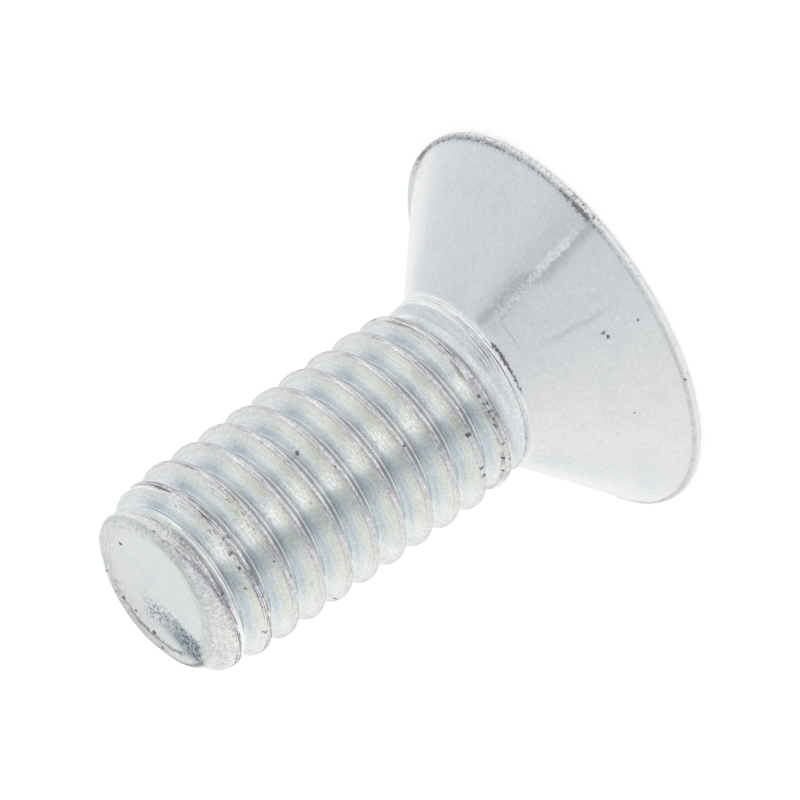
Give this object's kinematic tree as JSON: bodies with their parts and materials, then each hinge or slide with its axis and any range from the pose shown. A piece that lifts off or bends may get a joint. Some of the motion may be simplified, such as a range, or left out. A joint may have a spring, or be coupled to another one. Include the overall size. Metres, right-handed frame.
{
  "type": "countersunk machine screw",
  "caption": "Countersunk machine screw with a hexagon socket, threaded up to the neck, bright zinc-plated steel, standing on its flat head.",
  "frame": {"origin": "centre of the head's flat face, which rests on the floor", "axes": "+Z along the screw's axis from the head to the tip, +X to the right and -Y towards the viewer at rest"},
  "size_m": [0.0098, 0.0096, 0.0121],
  "materials": {
    "zinc_plated_steel": "bright zinc plating with a clear blue passivation, smooth, with rolling and handling marks"
  },
  "bodies": {
    "root": {"screw": "zinc_plated_steel"}
  },
  "joints": []
}
